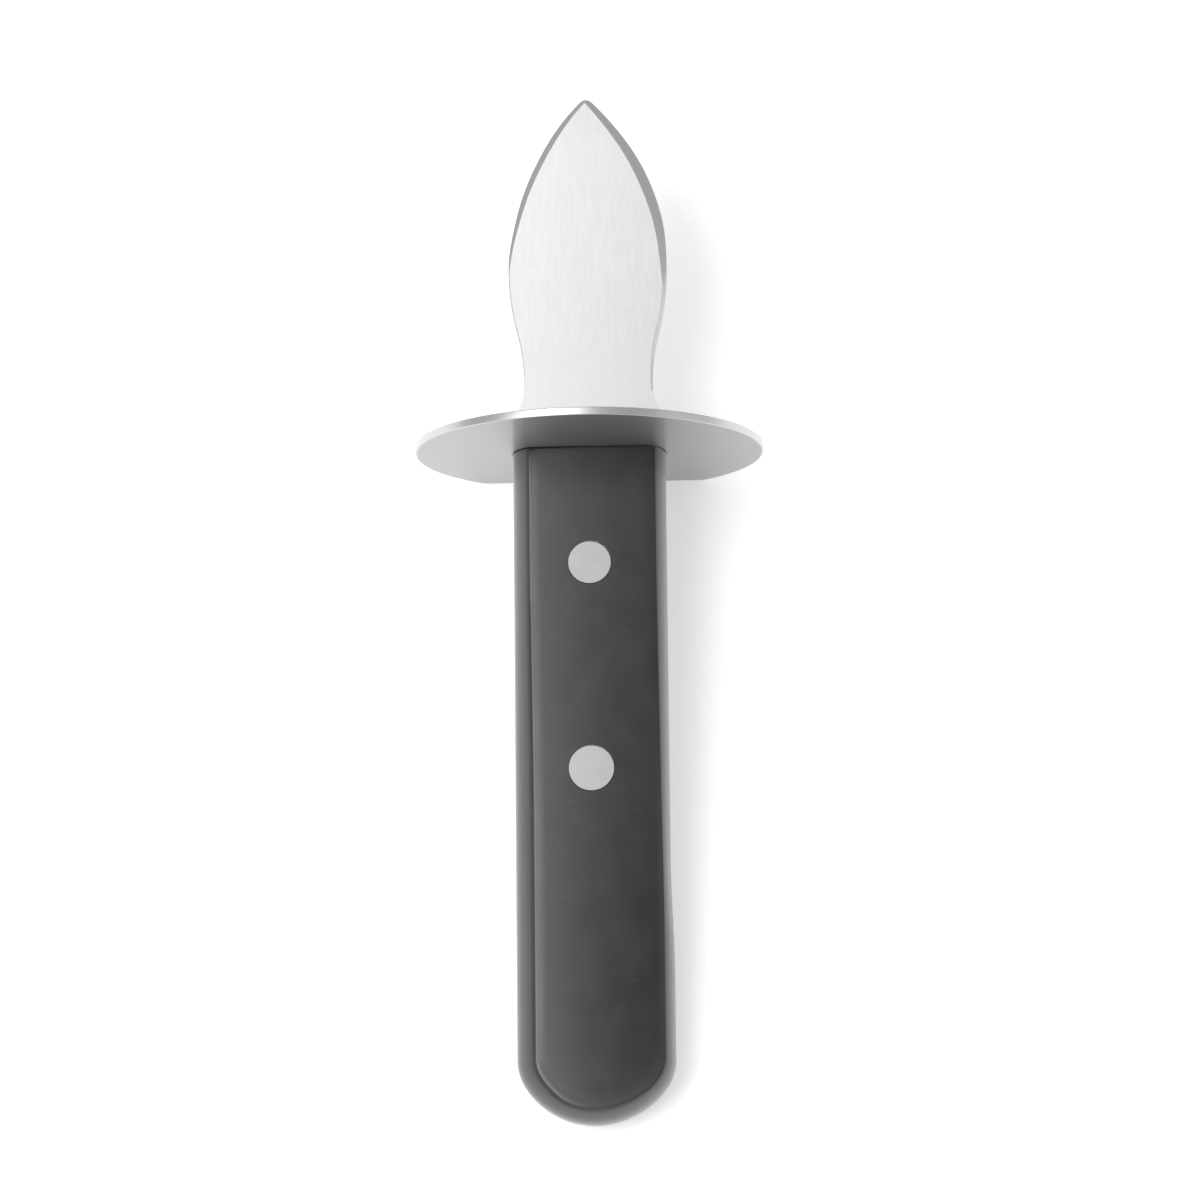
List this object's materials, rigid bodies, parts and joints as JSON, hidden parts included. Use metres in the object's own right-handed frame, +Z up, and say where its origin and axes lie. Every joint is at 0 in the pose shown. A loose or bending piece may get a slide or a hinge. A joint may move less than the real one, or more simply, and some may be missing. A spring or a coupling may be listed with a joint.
{
  "type": "oyster knife",
  "caption": "Oyster knife with a short leaf-shaped blade, a round sheet-steel guard that is flat below, and a black riveted handle.",
  "frame": {"origin": "middle of the bounding box, on the table that the knife lies on", "axes": "+Y towards the blade's tip, +Z up from the table, +X to the right of a viewer who looks from the butt along the knife"},
  "size_m": [0.0524, 0.155, 0.0458],
  "materials": {
    "blade_steel": "brushed lengthwise, with finely ground bevels along both edges",
    "guard_steel": "polished stainless sheet, a soft mirror",
    "handle_plastic": "black satin plastic, fine scratches along its length",
    "rivet_metal": "ground flush with the handle, satin"
  },
  "bodies": {
    "root": {"blade": "blade_steel", "guard": "guard_steel", "handle": "handle_plastic", "upper_rivet_post": "rivet_metal", "upper_rivet_socket": "rivet_metal", "lower_rivet_post": "rivet_metal", "lower_rivet_socket": "rivet_metal"}
  },
  "joints": []
}
